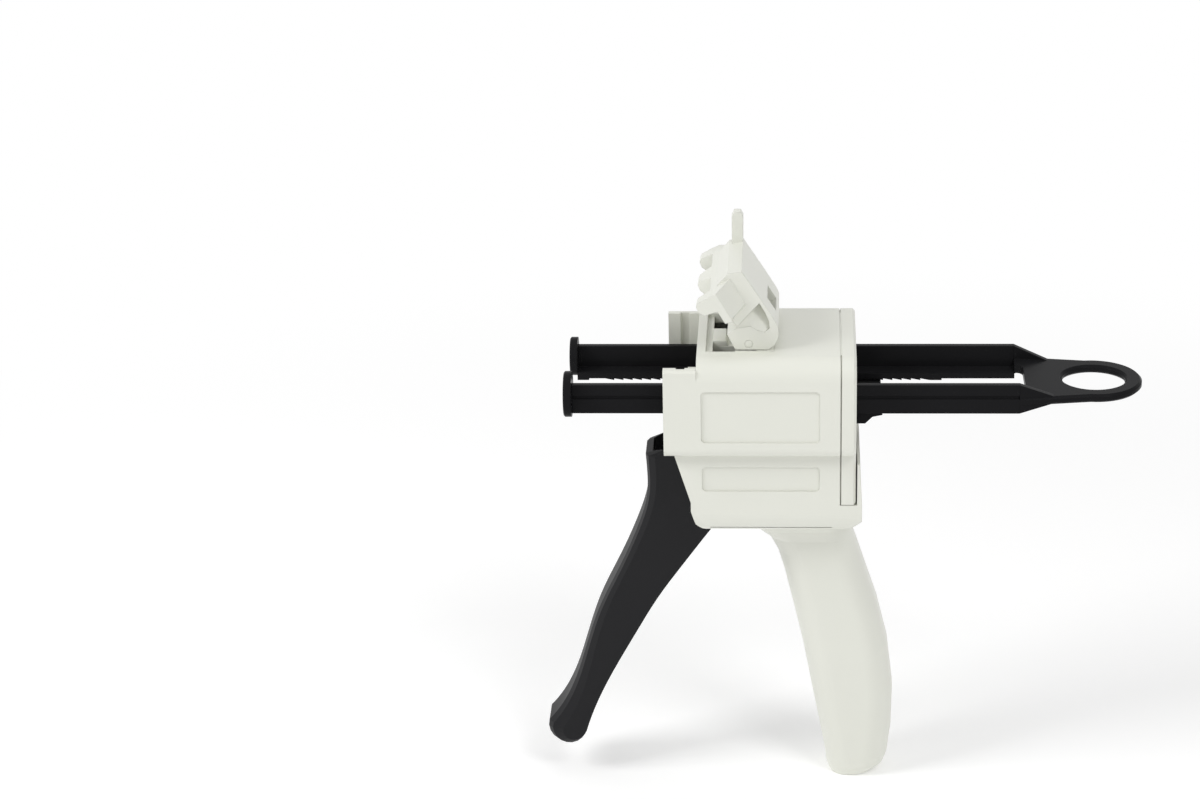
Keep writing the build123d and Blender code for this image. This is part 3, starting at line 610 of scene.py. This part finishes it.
class DISPENSER_OT_seam_strip(bpy.types.Operator):
    """Closes the seam of the rear cover across the top"""
    bl_idname = "dispenser.seam_strip"
    bl_label = "Close the top of the seam"

    def execute(self, context):
        add_bar("seam_strip", STRIP_LOW, STRIP_HIGH, STRIP_EDGE)
        return {"FINISHED"}


class DISPENSER_OT_stage(bpy.types.Operator):
    """Adds the pale floor, the even sky, the lamps and the camera"""
    bl_idname = "dispenser.stage"
    bl_label = "Add the stage"

    def execute(self, context):
        stage = context.scene.dispenser_stage
        add_floor(stage)
        add_sky(stage)
        add_lamps(stage)
        add_camera()
        context.scene.view_settings.view_transform = "Standard"
        return {"FINISHED"}


def add_floor(stage):
    deselect_all()
    bpy.ops.mesh.primitive_plane_add(size=FLOOR_SIZE, location=FLOOR_MIDDLE)
    floor = bpy.context.object
    floor.name = "floor"
    floor.data.materials.append(studio_floor(stage))


def straight_rays(nodes, links):
    """One for a ray of the camera, of a reflection or through glass, and nothing for the rest."""
    path = nodes.new("ShaderNodeLightPath")
    mirrored = nodes.new("ShaderNodeMath")
    mirrored.operation = "MAXIMUM"
    links.new(path.outputs["Is Camera Ray"], mirrored.inputs[0])
    links.new(path.outputs["Is Glossy Ray"], mirrored.inputs[1])
    either = nodes.new("ShaderNodeMath")
    either.operation = "MAXIMUM"
    links.new(mirrored.outputs[0], either.inputs[0])
    links.new(path.outputs["Is Transmission Ray"], either.inputs[1])
    return either.outputs[0]


def studio_floor(stage):
    """Pale matt floor that holds the shadow near the gun and runs out into white."""
    material = bpy.data.materials.new("studio_floor")
    material.use_nodes = True
    nodes = material.node_tree.nodes
    links = material.node_tree.links
    shader = nodes["Principled BSDF"]
    shader.inputs["Base Color"].default_value = (*stage.floor, 1.0)
    shader.inputs["Roughness"].default_value = 0.9
    shader.inputs["Specular IOR Level"].default_value = 0.1
    shader.inputs["Emission Color"].default_value = (1.0, 1.0, 1.0, 1.0)
    shader.inputs["Emission Strength"].default_value = stage.lift
    white = nodes.new("ShaderNodeEmission")
    place = nodes.new("ShaderNodeTexCoord")
    reach = nodes.new("ShaderNodeVectorMath")
    reach.operation = "LENGTH"
    links.new(place.outputs["Object"], reach.inputs[0])
    fade = nodes.new("ShaderNodeMapRange")
    fade.interpolation_type = "SMOOTHSTEP"
    fade.inputs["From Min"].default_value = FADE_START
    fade.inputs["From Max"].default_value = FADE_END
    links.new(reach.outputs["Value"], fade.inputs["Value"])
    share = nodes.new("ShaderNodeMath")
    share.operation = "MULTIPLY"
    links.new(straight_rays(nodes, links), share.inputs[0])
    links.new(fade.outputs["Result"], share.inputs[1])
    mix = nodes.new("ShaderNodeMixShader")
    links.new(share.outputs[0], mix.inputs["Fac"])
    links.new(shader.outputs[0], mix.inputs[1])
    links.new(white.outputs[0], mix.inputs[2])
    links.new(mix.outputs[0], nodes["Material Output"].inputs["Surface"])
    return material


def add_sky(stage):
    world = bpy.data.worlds.new("studio_sky")
    bpy.context.scene.world = world
    world.use_nodes = True
    nodes = world.node_tree.nodes
    links = world.node_tree.links
    nodes.clear()
    out = nodes.new("ShaderNodeOutputWorld")
    lit = nodes.new("ShaderNodeBackground")
    lit.inputs["Color"].default_value = (1.0, 1.0, 1.0, 1.0)
    lit.inputs["Strength"].default_value = stage.sky
    seen = nodes.new("ShaderNodeBackground")
    seen.inputs["Color"].default_value = (1.0, 1.0, 1.0, 1.0)
    seen.inputs["Strength"].default_value = 1.0
    mix = nodes.new("ShaderNodeMixShader")
    links.new(straight_rays(nodes, links), mix.inputs["Fac"])
    links.new(lit.outputs[0], mix.inputs[1])
    links.new(seen.outputs[0], mix.inputs[2])
    links.new(mix.outputs[0], out.inputs["Surface"])


def add_lamps(stage):
    for name, place, width, height, share in LAMPS:
        lamp = bpy.data.lights.new(name, "AREA")
        lamp.shape = "RECTANGLE"
        lamp.size = width
        lamp.size_y = height
        lamp.energy = stage.key * share
        item = bpy.data.objects.new(name, lamp)
        bpy.context.collection.objects.link(item)
        item.location = place
        direction = LAMP_TARGET - item.location
        item.rotation_euler = direction.to_track_quat("-Z", "Y").to_euler()


def add_camera():
    data = bpy.data.cameras.new("photo_camera")
    data.sensor_fit = "HORIZONTAL"
    data.sensor_width = SENSOR
    data.lens = LENS
    data.clip_start = 0.01
    data.clip_end = 20.0
    camera = bpy.data.objects.new("photo_camera", data)
    bpy.context.collection.objects.link(camera)
    forward = Vector((
        -sin(CAMERA_AZIMUTH) * cos(CAMERA_ELEVATION),
        cos(CAMERA_AZIMUTH) * cos(CAMERA_ELEVATION),
        -sin(CAMERA_ELEVATION),
    ))
    level = forward.cross(Vector((0, 0, 1))).normalized()
    upright = level.cross(forward)
    right = level * cos(CAMERA_ROLL) + upright * sin(CAMERA_ROLL)
    up = upright * cos(CAMERA_ROLL) - level * sin(CAMERA_ROLL)
    turn = Matrix((right, up, -forward)).transposed()
    camera.matrix_world = Matrix.Translation(CAMERA_PLACE) @ turn.to_4x4()
    bpy.context.scene.camera = camera


class DISPENSER_PT_panel(bpy.types.Panel):
    bl_label = "Dispensing gun"
    bl_idname = "DISPENSER_PT_panel"
    bl_space_type = "VIEW_3D"
    bl_region_type = "UI"
    bl_category = "Dispenser"

    def draw(self, context):
        layout = self.layout
        for group in (context.scene.dispenser_finish, context.scene.dispenser_stage):
            box = layout.box()
            for name in group.__annotations__:
                box.prop(group, name)
        for step in STEPS:
            layout.operator(step.bl_idname)


STEPS = (
    DISPENSER_OT_finish_nodes,
    DISPENSER_OT_springs,
    DISPENSER_OT_latch_scoops,
    DISPENSER_OT_latch_plugs,
    DISPENSER_OT_deck_bar,
    DISPENSER_OT_deck_lips,
    DISPENSER_OT_seam_strip,
    DISPENSER_OT_stage,
)
CLASSES = (DispenserFinish, DispenserStage, *STEPS, DISPENSER_PT_panel)


def register():
    for item in CLASSES:
        bpy.utils.register_class(item)
    bpy.types.Scene.dispenser_finish = bpy.props.PointerProperty(type=DispenserFinish)
    bpy.types.Scene.dispenser_stage = bpy.props.PointerProperty(type=DispenserStage)


def unregister():
    del bpy.types.Scene.dispenser_stage
    del bpy.types.Scene.dispenser_finish
    for item in reversed(CLASSES):
        bpy.utils.unregister_class(item)


def main():
    register()
    bpy.ops.dispenser.finish_nodes()
    bpy.ops.dispenser.springs()
    bpy.ops.dispenser.latch_scoops()
    bpy.ops.dispenser.latch_plugs()
    bpy.ops.dispenser.deck_bar()
    bpy.ops.dispenser.deck_lips()
    bpy.ops.dispenser.seam_strip()
    bpy.ops.dispenser.stage()


if __name__ == "__main__":
    main()
